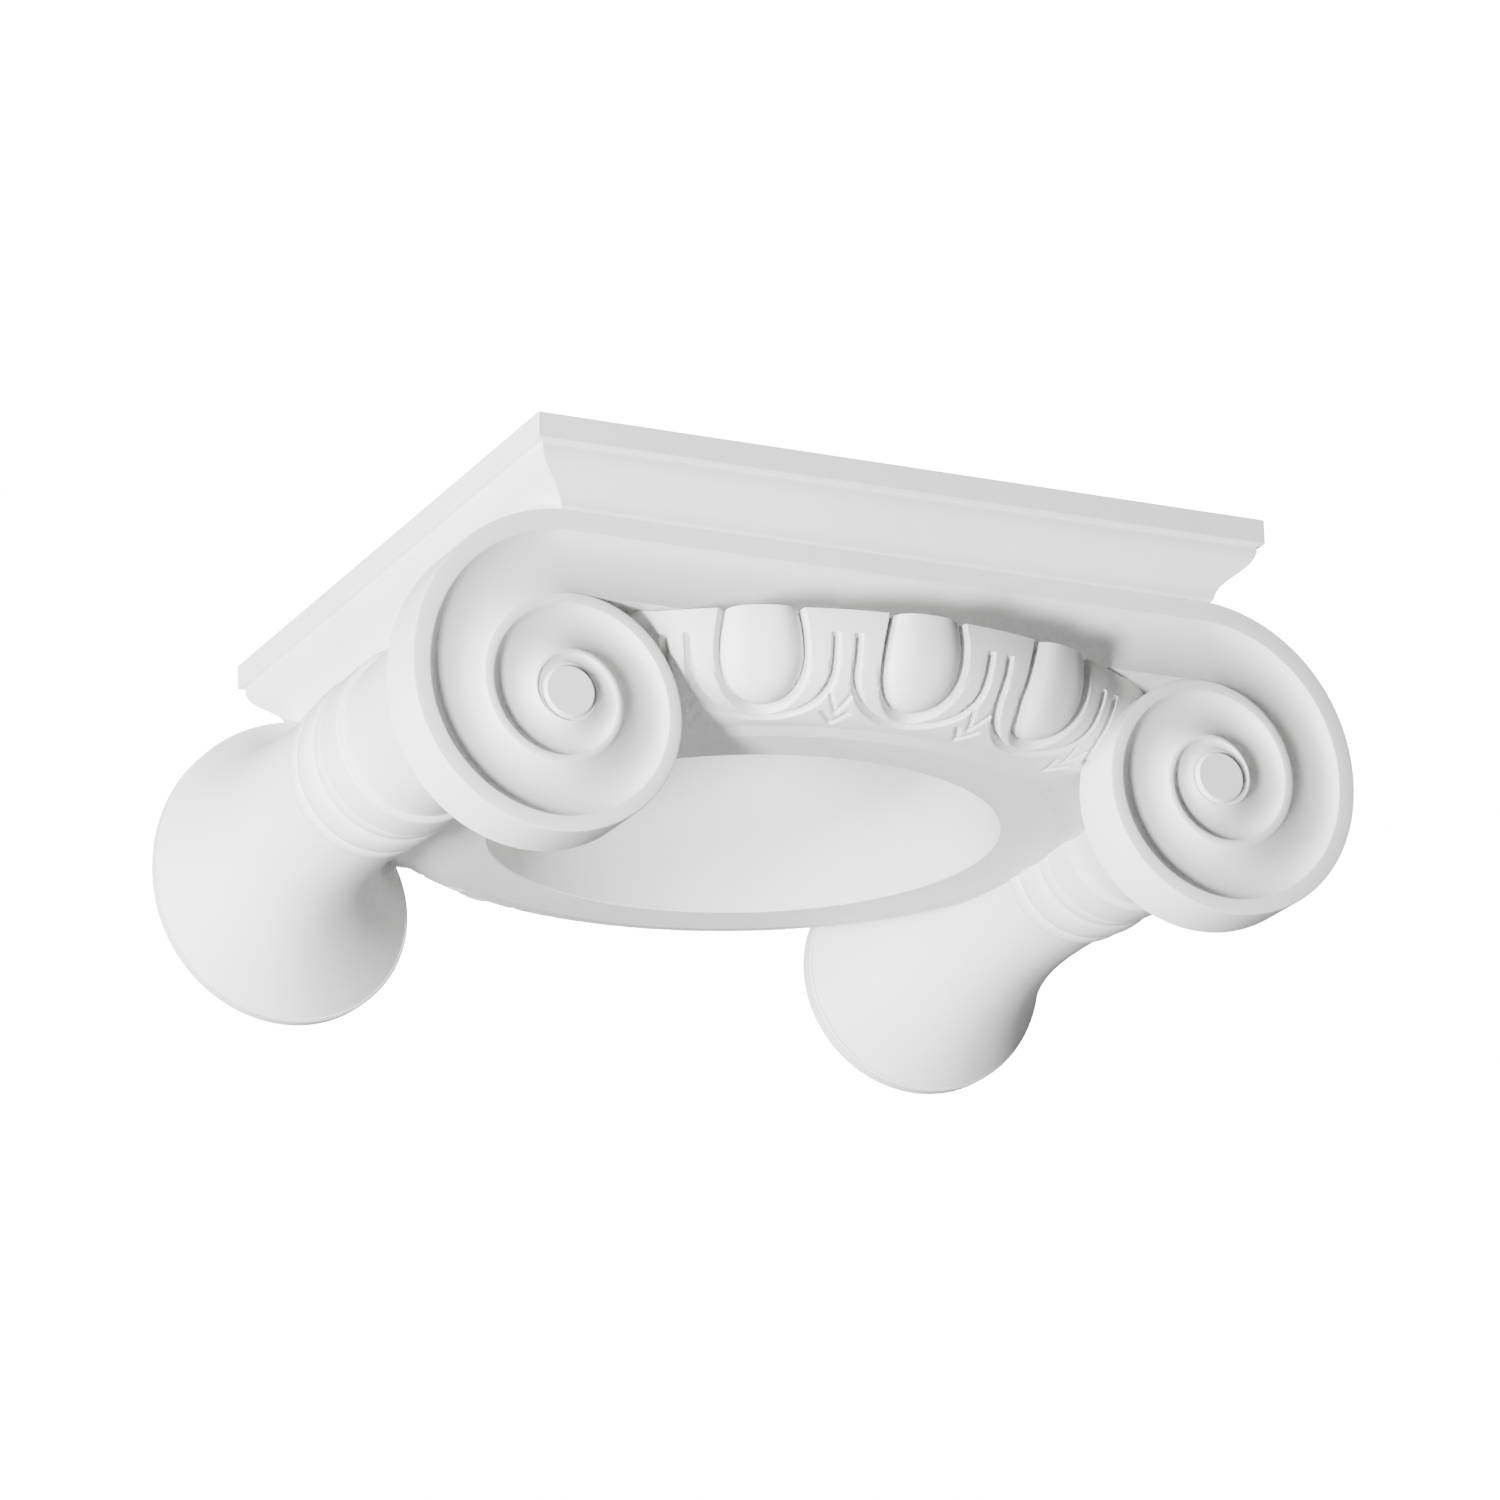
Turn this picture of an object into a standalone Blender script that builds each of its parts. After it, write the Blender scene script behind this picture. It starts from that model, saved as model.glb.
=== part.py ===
"""Ionic capital: a square moulded abacus over scrolled volutes, balusters and an egg-and-dart echinus.

Metres, +Z up, front face towards -Y. The capital stands on its four scrolls at z = 0.
"""

import math

import bmesh
import bpy

# Abacus, from its top downwards
ABACUS_SIDE = 0.305
FASCIA_HEIGHT = 0.010
STEP_INSET = 0.0024
STEP_HEIGHT = 0.0028
CYMA_HEIGHT = 0.0160
CYMA_INSET = 0.0126
FILLET_HEIGHT = 0.0016
CYMA_STEPS = 6

# Heights above the round seat of the echinus
ABACUS_UNDERSIDE = 0.0700
ECHINUS_TOP = 0.0366
EYE_LEVEL = -0.0021

# Scroll, as seen from the front
EYE_OFFSET = 0.1354
SCROLL_RADIUS = 0.0689
SCROLL_RISE = 0.0038
RISE_DEGREES = 95.0
EYE_RING_RADIUS = 0.0112
EYE_DISC_RADIUS = 0.0096
SCROLL_DEGREES = 900.0
SCROLL_EASE = 1.4
RIM_SHARE = 0.12
SCROLL_STEP_DEGREES = 15.0

# Front and back faces, distances from the centre plane
FRONT_RIM_PLANE = 0.1363
FRONT_EYE_PLANE = 0.1401
FRONT_BAND_DEPTH = 0.0253
FRONT_CHANNEL_DEPTH = 0.0034
BACK_RIM_PLANE = 0.1324
BACK_EYE_PLANE = 0.1346
BACK_BAND_DEPTH = 0.0066
BACK_CHANNEL_DEPTH = 0.0026
EYE_LIFT = 0.0010

# Balusters between the faces
BELT_SCALE = 0.55
BELT_CENTRE_OUT = 0.0326
BELT_CENTRE_UP = 0.0226
BELT_BACK = 0.0152
BELT_RING = 0.0085
BELT_TORUS = 0.0170
BELT_COLLAR = 0.0190
BELT_RELIEF = 0.0016
FLARE_SCALE = 0.81
BELL_SCALE = 0.985
BELL_EASE = 3.5
OVERLAP = 0.0010

# Echinus and round seat
ECHINUS_RADIUS = 0.1645
FOOT_TURN_IN = 0.0350
FOOT_HEIGHT = 0.0016
FRONT_FULLNESS = 2.25
BACK_FULLNESS = 1.60
SEAT_BEVEL = 0.0070
LEDGE = 0.0360
LEDGE_RISE = 0.0040
SOCKET_RADIUS = 0.1000
SOCKET_DEPTH = 0.0760
EGGS_ROUND = 16
EGGS_CARVED = 3
EGG_BULGE = 0.0028
EGG_HALF_WIDTH = 0.265
EGG_BOTTOM = 0.77
SHELL_HALF_WIDTH = 0.430
SHELL_BOTTOM = 0.87
BAND_BOTTOM = 0.17
GROOVE_DEPTH = 0.0032
DART_GROOVE_DEPTH = 0.0016

# Look
CAST_COLOUR = (0.86, 0.86, 0.85, 1.0)
CAST_ROUGHNESS = 0.55


def clear_scene():
    for obj in list(bpy.data.objects):
        bpy.data.objects.remove(obj, do_unlink=True)


def cast_material():
    mat = bpy.data.materials.new("cast_white")
    mat.use_nodes = True
    shader = mat.node_tree.nodes["Principled BSDF"]
    shader.inputs["Base Color"].default_value = CAST_COLOUR
    shader.inputs["Roughness"].default_value = CAST_ROUGHNESS
    return mat


def seat_height():
    """Height of the round seat once the lowest scroll edge stands at zero."""
    turns = [i * SCROLL_STEP_DEGREES for i in range(scroll_steps()[1])]
    return -EYE_LEVEL + max(-scroll_point(turn, scroll_radius(turn))[1] for turn in turns)


def solid(name, points, faces):
    """A closed mesh object with its normals facing out, raised so that the scrolls stand at zero."""
    lift = seat_height()
    mesh = bpy.data.meshes.new(name)
    mesh.from_pydata([(x, y, z + lift) for x, y, z in points], [], faces)
    shape = bmesh.new()
    shape.from_mesh(mesh)
    bmesh.ops.remove_doubles(shape, verts=shape.verts, dist=1e-6)
    bmesh.ops.recalc_face_normals(shape, faces=shape.faces)
    shape.to_mesh(mesh)
    shape.free()
    obj = bpy.data.objects.new(name, mesh)
    bpy.context.scene.collection.objects.link(obj)
    return obj


def loft(name, rings):
    """Closed rings of equal length joined in order, with a flat cap at each end."""
    count = len(rings[0])
    points = [point for ring in rings for point in ring]
    faces = []
    for row in range(len(rings) - 1):
        for i in range(count):
            here = row * count + i
            after = row * count + (i + 1) % count
            faces.append((here, after, after + count, here + count))
    faces.append(tuple(range(count)))
    faces.append(tuple(range(len(points) - count, len(points))))
    return solid(name, points, faces)


def join(target, others):
    """Merge the other solids into the target."""
    for other in others:
        mod = target.modifiers.new("join", "BOOLEAN")
        mod.operation = "UNION"
        mod.solver = "EXACT"
        mod.object = other
        other.hide_render = True
        other.display_type = "WIRE"


# Abacus
def abacus_profile():
    """Inset from the edge and drop from the top, from the top down."""
    profile = [(0.0, 0.0), (0.0, FASCIA_HEIGHT)]
    cyma_top = FASCIA_HEIGHT + STEP_HEIGHT
    profile.append((STEP_INSET, FASCIA_HEIGHT + STEP_HEIGHT * 0.25))
    for i in range(CYMA_STEPS + 1):
        share = i / CYMA_STEPS
        swing = math.sin(2 * math.pi * share) * -0.10
        profile.append((STEP_INSET + CYMA_INSET * (share + swing), cyma_top + CYMA_HEIGHT * share))
    low = cyma_top + CYMA_HEIGHT + FILLET_HEIGHT
    profile.append((STEP_INSET + CYMA_INSET, low))
    return profile


def abacus():
    profile = abacus_profile()
    top = ABACUS_UNDERSIDE + profile[-1][1]
    rings = []
    for inset, drop in profile:
        half = ABACUS_SIDE / 2 - inset
        corners = ((-half, -half), (half, -half), (half, half), (-half, half))
        rings.append([(x, y, top - drop) for x, y in corners])
    return loft("abacus", rings)


# Scroll curve
def scroll_rise(turn):
    """How far the outer turn swells towards the abacus."""
    share = min(1.0, turn / RISE_DEGREES)
    return SCROLL_RISE * (1.0 - share * share * (3.0 - 2.0 * share))


def scroll_radius(turn):
    """Outer edge of the scroll after a number of degrees of turn from its top."""
    left = max(0.0, 1.0 - turn / SCROLL_DEGREES)
    spiral = EYE_RING_RADIUS + (SCROLL_RADIUS - EYE_RING_RADIUS) * left**SCROLL_EASE
    return spiral + scroll_rise(turn)


def scroll_steps():
    """Number of steps along the whole scroll and in one turn of it."""
    return int(round(SCROLL_DEGREES / SCROLL_STEP_DEGREES)), int(round(360.0 / SCROLL_STEP_DEGREES))


def scroll_point(turn, radius):
    """Out from the eye and up from the eye for a point at this turn."""
    angle = math.radians(turn)
    return (radius * math.sin(angle), radius * math.cos(angle))


def strip_profile(turn, channel_depth):
    """Share of the way to the next turn and sink below the rim, from the rim inwards."""
    outer = scroll_radius(turn)
    inner = scroll_radius(turn + 360.0)
    width = outer - inner
    rim = min(0.45, RIM_SHARE * outer / max(width, 1e-6))
    sink = channel_depth * min(1.0, width / (3.0 * channel_depth))
    levels = [(0.0, 0.0), (rim, 0.0)]
    for across in (0.12, 0.40, 0.75):
        levels.append((rim + (1.0 - rim) * across, sink * (1.0 - (2 * across - 1) ** 2) ** 0.75))
    levels.append((1.0, 0.0))
    return levels


def place(points, index, key, spot):
    """Number of the point with this key, added when it is new."""
    if key not in index:
        index[key] = len(points)
        points.append(spot)
    return index[key]


def scroll_key(side, i, j, last):
    """Name of a scroll point, shared where one turn meets the next and where they all meet the eye."""
    steps, lap = scroll_steps()
    after = i + lap if j == last else i
    if i == steps or after >= steps:
        return (side, "ring", i % lap)
    if j in (0, last):
        return (side, "edge", after)
    return (side, i, j)


def scroll_faces(side, points, index, spot, channel_depth, lead_at):
    """Faces of one scroll, from the top of its outer turn to the ring of its eye."""
    steps, lap = scroll_steps()
    strip = []
    for i in range(steps + 1):
        turn = i * SCROLL_STEP_DEGREES
        outer = scroll_radius(turn)
        inner = scroll_radius(turn + 360.0)
        levels = strip_profile(turn, channel_depth)
        row = []
        for j, (share, sink) in enumerate(levels):
            out, up = scroll_point(turn, outer + (inner - outer) * share)
            lead = lead_at(turn + 360.0 * share) - sink
            key = scroll_key(side, i, j, len(levels) - 1)
            row.append(place(points, index, key, spot(side * (EYE_OFFSET + out), lead, up)))
        strip.append(row)
    faces = []
    for here, after in zip(strip, strip[1:]):
        for j in range(len(here) - 1):
            faces.append((here[j], after[j], after[j + 1], here[j + 1]))
    return faces


def eye_faces(side, points, index, spot, eye_plane):
    """Flat disc in the middle of one scroll and the slope round it."""
    lap = scroll_steps()[1]
    disc = []
    for i in range(lap):
        out, up = scroll_point(i * SCROLL_STEP_DEGREES, EYE_DISC_RADIUS)
        disc.append(place(points, index, (side, "disc", i), spot(side * (EYE_OFFSET + out), eye_plane, up)))
    ring = [index[(side, "ring", i)] for i in range(lap)]
    faces = [tuple(disc)]
    for i in range(lap):
        after = (i + 1) % lap
        faces.append((ring[i], ring[after], disc[after], disc[i]))
    return faces


def channel_faces(index):
    """Straight channel between the tops of the two scrolls."""
    last = len(strip_profile(0.0, 1.0)) - 1
    left = [index[scroll_key(-1, 0, j, last)] for j in range(last + 1)]
    right = [index[scroll_key(1, 0, j, last)] for j in range(last + 1)]
    return [(left[j], right[j], right[j + 1], left[j + 1]) for j in range(last)]


def face_slab(name, facing, rim_plane, eye_plane, band_depth, channel_depth):
    """Both scrolls of one face and the channel between them, on a slab of the band's depth."""
    points = []
    faces = []
    index = {}

    def spot(x, depth, up):
        return (x, facing * depth, EYE_LEVEL + up)

    def lead_at(turn):
        share = min(1.0, turn / SCROLL_DEGREES)
        return rim_plane + (eye_plane - EYE_LIFT - rim_plane) * share

    for side in (-1, 1):
        faces += scroll_faces(side, points, index, spot, channel_depth, lead_at)
        faces += eye_faces(side, points, index, spot, eye_plane)
    faces += channel_faces(index)
    back_plane = rim_plane - band_depth
    lap = scroll_steps()[1]
    outline = [index[(1, "edge", i)] for i in range(lap + 1)]
    outline += [index[(-1, "edge", i)] for i in range(lap, -1, -1)]
    rear = []
    for vertex in outline:
        x, _, z = points[vertex]
        rear.append(len(points))
        points.append((x, facing * back_plane, z))
    for i, vertex in enumerate(outline):
        after = (i + 1) % len(outline)
        faces.append((vertex, outline[after], rear[after], rear[i]))
    faces.append(tuple(rear))
    clean = [tuple(dict.fromkeys(face)) for face in faces]
    return solid(name, points, [face for face in clean if len(face) > 2])


# Balusters
def section(depth, scale, swell, side):
    """The scroll's outline, drawn in towards the belt's own centre and pushed out by the swell."""
    held_back = (1.0 - scale) / (1.0 - BELT_SCALE)
    ring = []
    for i in range(scroll_steps()[1] + 1):
        turn = i * SCROLL_STEP_DEGREES
        out, up = scroll_point(turn, scroll_radius(turn) - scroll_rise(turn) * held_back)
        out = BELT_CENTRE_OUT + (out - BELT_CENTRE_OUT) * scale + swell * math.sin(math.radians(turn))
        up = BELT_CENTRE_UP + (up - BELT_CENTRE_UP) * scale + swell * math.cos(math.radians(turn))
        ring.append((side * (EYE_OFFSET + out), depth, EYE_LEVEL + up))
    return ring


def belt_rows():
    """Depth and swell of the belt's mouldings, from the back: ring, torus, ring, collar."""
    rows = []
    edge = BELT_BACK
    for width, swell in (
        (BELT_RING, BELT_RELIEF * 0.8),
        (BELT_TORUS, BELT_RELIEF * 1.2),
        (BELT_RING, BELT_RELIEF * 0.8),
        (BELT_COLLAR, BELT_RELIEF * 1.1),
    ):
        rows.append((edge, 0.0))
        rows.append((edge - width * 0.22, swell * 0.85))
        rows.append((edge - width * 0.5, swell))
        rows.append((edge - width * 0.78, swell * 0.85))
        edge -= width
    rows.append((edge, 0.0))
    return rows


def baluster(side):
    rows = belt_rows()
    front_edge = rows[-1][0]
    sections = []
    bell_end = BACK_RIM_PLANE - BACK_BAND_DEPTH
    sections.append((bell_end + OVERLAP, BELL_SCALE, 0.0))
    for i in range(8):
        share = 1.0 - i / 8
        depth = BELT_BACK + (bell_end - BELT_BACK) * share
        sections.append((depth, BELT_SCALE + (BELL_SCALE - BELT_SCALE) * share**BELL_EASE, 0.0))
    sections += [(depth, BELT_SCALE, swell) for depth, swell in rows]
    band_rear = -(FRONT_RIM_PLANE - FRONT_BAND_DEPTH)
    for i in range(1, 6):
        share = i / 5
        depth = front_edge + (band_rear - front_edge) * share
        sections.append((depth, BELT_SCALE + (FLARE_SCALE - BELT_SCALE) * share * share, 0.0))
    sections.append((band_rear - 3 * OVERLAP, FLARE_SCALE, 0.0))
    return loft(f"baluster_{side}", [section(d, s, w, side) for d, s, w in sections])


# Echinus
def egg_edge(run):
    """Half width of the egg as a share of the pitch, at a share of the way down the ovolo."""
    if run < 0.33:
        return EGG_HALF_WIDTH * (1.0 - 0.15 * ((0.33 - run) / 0.33) ** 2)
    low = min(1.0, (run - 0.33) / (EGG_BOTTOM - 0.33))
    return EGG_HALF_WIDTH * math.sqrt(1.0 - low * low)


def shell_edge(run):
    low = min(1.0, max(0.0, (run - 0.40) / (SHELL_BOTTOM - 0.40)))
    return SHELL_HALF_WIDTH * math.sqrt(1.0 - low * low)


def carving_columns(run):
    """Place across half a pitch and height of the carving, from the egg's middle to the dart's."""
    egg = egg_edge(run)
    shell = max(shell_edge(run), egg + 0.06)
    low = min(1.0, max(0.0, (run - 0.33) / (EGG_BOTTOM - 0.33)))
    dome = EGG_BULGE * math.sqrt(1.0 - low * low)
    cut = -GROOVE_DEPTH if run < 0.5 * (EGG_BOTTOM + SHELL_BOTTOM) else 0.0
    side = -DART_GROOVE_DEPTH if BAND_BOTTOM < run < SHELL_BOTTOM + 0.05 else 0.0
    return [
        (0.0, dome if egg > 0.0 else cut),
        (egg * 0.55, dome * 0.85 if egg > 0.0 else cut),
        (egg * 0.97, 0.0 if egg > 0.0 else cut),
        (egg + 0.022, cut),
        (egg + 0.052, 0.0),
        (shell - 0.004, 0.0),
        (shell + 0.010, side),
        (min(0.49, shell + 0.026), 0.0),
        (0.5, 0.0),
    ]


def carved_ring(run):
    """Angle from the front and carving height at every column round the echinus."""
    pitch = 360.0 / EGGS_ROUND
    half = carving_columns(run)
    columns = []
    reach = EGGS_CARVED * 0.5
    for face in (0, 1):
        for egg in range(EGGS_CARVED):
            middle = face * 180.0 + (egg - (EGGS_CARVED - 1) / 2) * pitch
            for place, height in reversed(half[1:]):
                columns.append((middle - place * pitch, height))
            for place, height in half[:-1]:
                columns.append((middle + place * pitch, height))
        start = face * 180.0 + reach * pitch
        plain = 180.0 - 2 * reach * pitch
        columns += [(start + plain * i / 10, 0.0) for i in range(10)]
    return columns


def ovolo(turn, fullness):
    """Radius, height and outward slope of the ovolo, a quarter of a rounded square, at a turn from its top."""
    angle = math.radians(min(89.0, max(1.0, turn)))
    out = math.cos(angle) ** (2.0 / fullness)
    down = math.sin(angle) ** (2.0 / fullness)
    rise = ECHINUS_TOP - FOOT_HEIGHT
    radius = ECHINUS_RADIUS - FOOT_TURN_IN * (1.0 - out)
    facing = (out ** (fullness - 1.0) / FOOT_TURN_IN, down ** (fullness - 1.0) / rise)
    size = math.hypot(*facing)
    return radius, ECHINUS_TOP - rise * down, facing[0] / size, facing[1] / size


def fullness_at(angle):
    """The ovolo is fuller between the front volutes than round the sides and back."""
    away = abs((angle + 180.0) % 360.0 - 180.0)
    share = min(1.0, max(0.0, (away - 40.0) / 30.0))
    return FRONT_FULLNESS + (BACK_FULLNESS - FRONT_FULLNESS) * share


def echinus():
    runs = (0.0, 0.15, 0.18, 0.33, 0.47, 0.58, 0.67, 0.73, 0.77, 0.81, 0.86, 0.91, 0.97)
    rings = []
    top = []
    for angle, _ in carved_ring(0.0):
        turn = math.radians(angle - 90.0)
        reach = ECHINUS_RADIUS - LEDGE
        top.append((reach * math.cos(turn), reach * math.sin(turn), ECHINUS_TOP + LEDGE_RISE))
    rings.append(top)
    for run in runs:
        ring = []
        for angle, lift in carved_ring(run):
            radius, height, out, down = ovolo(90.0 * run, fullness_at(angle))
            turn = math.radians(angle - 90.0)
            reach = radius + lift * out
            ring.append((reach * math.cos(turn), reach * math.sin(turn), height - lift * down))
        rings.append(ring)
    foot = ECHINUS_RADIUS - FOOT_TURN_IN
    for radius, height in ((foot, FOOT_HEIGHT), (foot - SEAT_BEVEL, 0.0)):
        ring = []
        for angle, _ in carved_ring(1.0):
            turn = math.radians(angle - 90.0)
            ring.append((radius * math.cos(turn), radius * math.sin(turn), height))
        rings.append(ring)
    return loft("echinus", rings)


def socket_cutter():
    rings = []
    for height in (-0.02, SOCKET_DEPTH):
        ring = []
        for i in range(72):
            angle = 2 * math.pi * i / 72
            ring.append((SOCKET_RADIUS * math.cos(angle), SOCKET_RADIUS * math.sin(angle), height))
        rings.append(ring)
    return loft("socket_cutter", rings)


def cushion():
    """Plain block that carries the abacus between the two faces."""
    half = EYE_OFFSET
    low = EYE_LEVEL + scroll_radius(360.0) + OVERLAP
    high = ABACUS_UNDERSIDE + 0.002
    front = -(FRONT_RIM_PLANE - FRONT_BAND_DEPTH) - OVERLAP
    back = BACK_RIM_PLANE - BACK_BAND_DEPTH + OVERLAP
    rings = []
    for height in (low, high):
        corners = ((-half, front), (half, front), (half, back), (-half, back))
        rings.append([(x, y, height) for x, y in corners])
    return loft("cushion", rings)


def capital():
    body = abacus()
    body.name = "capital"
    front = face_slab(
        "front_face", -1, FRONT_RIM_PLANE, FRONT_EYE_PLANE, FRONT_BAND_DEPTH, FRONT_CHANNEL_DEPTH
    )
    back = face_slab("back_face", 1, BACK_RIM_PLANE, BACK_EYE_PLANE, BACK_BAND_DEPTH, BACK_CHANNEL_DEPTH)
    join(body, [cushion(), front, back, baluster(-1), baluster(1), echinus()])
    cut = body.modifiers.new("socket", "BOOLEAN")
    cut.operation = "DIFFERENCE"
    cut.solver = "EXACT"
    cut.object = socket_cutter()
    cut.object.hide_render = True
    cut.object.display_type = "WIRE"
    body.data.materials.append(cast_material())
    return body


clear_scene()
capital()
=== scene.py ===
"""Looks of a cast ionic capital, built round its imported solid.

Laid out as an add-on and run as a script. Sizes are in metres.
"""

import math

import bmesh
import bpy
from bpy.props import FloatProperty, FloatVectorProperty, IntProperty, PointerProperty
from mathutils import Matrix, Vector


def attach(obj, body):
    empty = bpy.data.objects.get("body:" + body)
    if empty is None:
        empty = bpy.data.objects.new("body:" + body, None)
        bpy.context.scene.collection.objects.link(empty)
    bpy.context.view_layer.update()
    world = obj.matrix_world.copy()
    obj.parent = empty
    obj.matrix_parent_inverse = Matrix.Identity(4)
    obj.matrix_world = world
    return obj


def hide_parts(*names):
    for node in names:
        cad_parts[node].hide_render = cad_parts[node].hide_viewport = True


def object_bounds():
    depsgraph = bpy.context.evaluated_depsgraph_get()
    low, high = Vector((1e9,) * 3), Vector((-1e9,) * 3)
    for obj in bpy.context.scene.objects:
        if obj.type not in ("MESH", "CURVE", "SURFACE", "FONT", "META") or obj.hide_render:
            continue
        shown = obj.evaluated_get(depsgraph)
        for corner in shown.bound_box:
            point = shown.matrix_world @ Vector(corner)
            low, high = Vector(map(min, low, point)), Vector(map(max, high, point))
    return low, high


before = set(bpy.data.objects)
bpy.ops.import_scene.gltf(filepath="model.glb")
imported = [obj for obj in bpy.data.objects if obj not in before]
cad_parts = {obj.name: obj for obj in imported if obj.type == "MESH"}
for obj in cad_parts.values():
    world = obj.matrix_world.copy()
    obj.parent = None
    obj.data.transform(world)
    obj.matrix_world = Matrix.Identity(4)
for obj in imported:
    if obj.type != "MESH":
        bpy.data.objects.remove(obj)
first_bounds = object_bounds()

bl_info = {
    "name": "Ionic Capital",
    "version": (1, 0, 0),
    "blender": (4, 5, 0),
    "location": "3D View > Sidebar > Capital",
    "description": "Builds a cast ionic capital with volutes, balusters and an egg-and-dart echinus",
    "category": "Add Mesh",
}

BODY = "root"
NODE = "capital"
SLOT = "cast_white"
PIECE = "capital_casting"
SAME_SPOT = 1e-6  # points nearer than this are one


def length(name, default, description):
    """A size in metres, shown in the scene's unit."""
    return FloatProperty(name=name, description=description, default=default, unit="LENGTH", precision=5)


def share(name, default, description):
    """A bare ratio or number."""
    return FloatProperty(name=name, description=description, default=default, precision=4)


def whole(name, default, description):
    """A number of like things."""
    return IntProperty(name=name, description=description, default=default)


def power(name, default, description):
    """The power of a light, in watts."""
    return FloatProperty(name=name, description=description, default=default, unit="POWER")


def coat_colour(name, default, description):
    """A colour of the coat."""
    return FloatVectorProperty(name=name, description=description, default=default, subtype="COLOR", size=3)


class AbacusSizes(bpy.types.PropertyGroup):
    side: length("Side", 0.305, "Side of the square top")
    underside: length("Underside", 0.0700, "Height of the abacus's underside above the round seat")
    fascia: length("Fascia", 0.010, "Height of the flat band at the top")
    step_inset: length("Step Inset", 0.0024, "How far the step under the flat band goes in")
    step_height: length("Step Height", 0.0028, "Height of the step under the flat band")
    cyma_height: length("Cyma Height", 0.0160, "Height of the curved moulding")
    cyma_inset: length("Cyma Inset", 0.0126, "How far the curved moulding goes in")
    cyma_bow: share("Cyma Bow", 0.10, "How strongly the moulding bends out at its top and in at its foot")
    fillet: length("Fillet", 0.0016, "Height of the lowest plain band")
    foot_round: length("Foot Round", 0.0014, "Rounding of the lowest arris")
    softness: length("Edge Softness", 0.0005, "Rounding of the arrises")


class ScrollSizes(bpy.types.PropertyGroup):
    eye_level: length("Eye Level", -0.0021, "Height of the eyes above the round seat")
    eye_offset: length("Eye Offset", 0.1354, "Distance of each eye from the middle plane")
    radius: length("Radius", 0.0685, "Radius of the spiral at its top")
    swell: length("Swell", 0.0038, "Swelling of the outer turn towards the abacus")
    swell_degrees: share("Swell Degrees", 95.0, "Turn over which the swelling fades")
    ring_radius: length("Ring Radius", 0.0112, "Radius at which the scroll ends round the eye")
    disc_radius: length("Disc Radius", 0.0096, "Radius of the flat disc in the eye")
    eye_lift: length("Eye Lift", 0.0010, "How far the disc stands out from the last turn")
    degrees: share("Degrees", 900.0, "Turn of the scroll from its top to the eye")
    ease: share("Ease", 1.4, "How fast the scroll closes at first")
    rim_share: share("Rim Share", 0.12, "Width of the flat rim as a share of the scroll's radius")
    step_degrees: share("Step Degrees", 3.0, "Turn between two rows of the mesh")
    front_rim: length("Front Rim", 0.1363, "Distance of the front rim from the middle plane")
    front_eye: length("Front Eye", 0.1401, "Distance of the front eyes from the middle plane")
    front_band: length("Front Band", 0.0253, "Width of the band round the front scrolls")
    front_channel: length("Front Channel", 0.0042, "Depth of the front channel")
    back_rim: length("Back Rim", 0.1324, "Distance of the back rim from the middle plane")
    back_eye: length("Back Eye", 0.1346, "Distance of the back eyes from the middle plane")
    back_band: length("Back Band", 0.0066, "Width of the band round the back scrolls")
    back_channel: length("Back Channel", 0.0026, "Depth of the back channel")
    softness: length("Edge Softness", 0.0008, "Rounding of the rims")


class BalusterSizes(bpy.types.PropertyGroup):
    belt_scale: share("Belt Scale", 0.55, "Size of the belt as a share of the scroll's outline")
    centre_out: length("Centre Out", 0.0326, "Distance of the belt's centre outwards from the eye")
    centre_up: length("Centre Up", 0.0226, "Height of the belt's centre above the eye")
    back: length("Belt Back", 0.0152, "Where the belt begins, behind the middle plane")
    ring: length("Ring", 0.0085, "Width of the two narrow rings")
    torus: length("Torus", 0.0170, "Width of the round moulding between the rings")
    collar: length("Collar", 0.0190, "Width of the plain collar in front")
    relief: length("Relief", 0.0021, "How far the mouldings stand out")
    flare_scale: share("Flare Scale", 0.81, "Size of the baluster where it meets the front band")
    bell_scale: share("Bell Scale", 0.985, "Size of the bell where it meets the back band")
    bell_ease: share("Bell Ease", 3.5, "How late the bell opens")


class EchinusSizes(bpy.types.PropertyGroup):
    radius: length("Radius", 0.1645, "Radius at the top of the ovolo")
    top: length("Top", 0.0366, "Height of the ovolo's top above the round seat")
    foot_turn_in: length("Foot Turn In", 0.0350, "How far the foot lies inside the top")
    foot_height: length("Foot Height", 0.0016, "Height of the foot above the round seat")
    front_fullness: share("Front Fullness", 2.25, "Fullness of the ovolo between the front volutes")
    back_fullness: share("Back Fullness", 1.6, "Fullness of the ovolo round the sides and back")
    seat_bevel: length("Seat Bevel", 0.0070, "Width of the slope round the seat")
    socket_radius: length("Socket Radius", 0.1000, "Radius of the round socket")
    socket_depth: length("Socket Depth", 0.0760, "Depth of the round socket")
    ledge: length("Ledge", 0.0360, "Depth of the ledge on top of the ovolo")
    ledge_rise: length("Ledge Rise", 0.0040, "Rise of the ledge towards the channel")
    lip: length("Lip", 0.0014, "Rise of the ovolo's edge beside the volutes")


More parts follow.
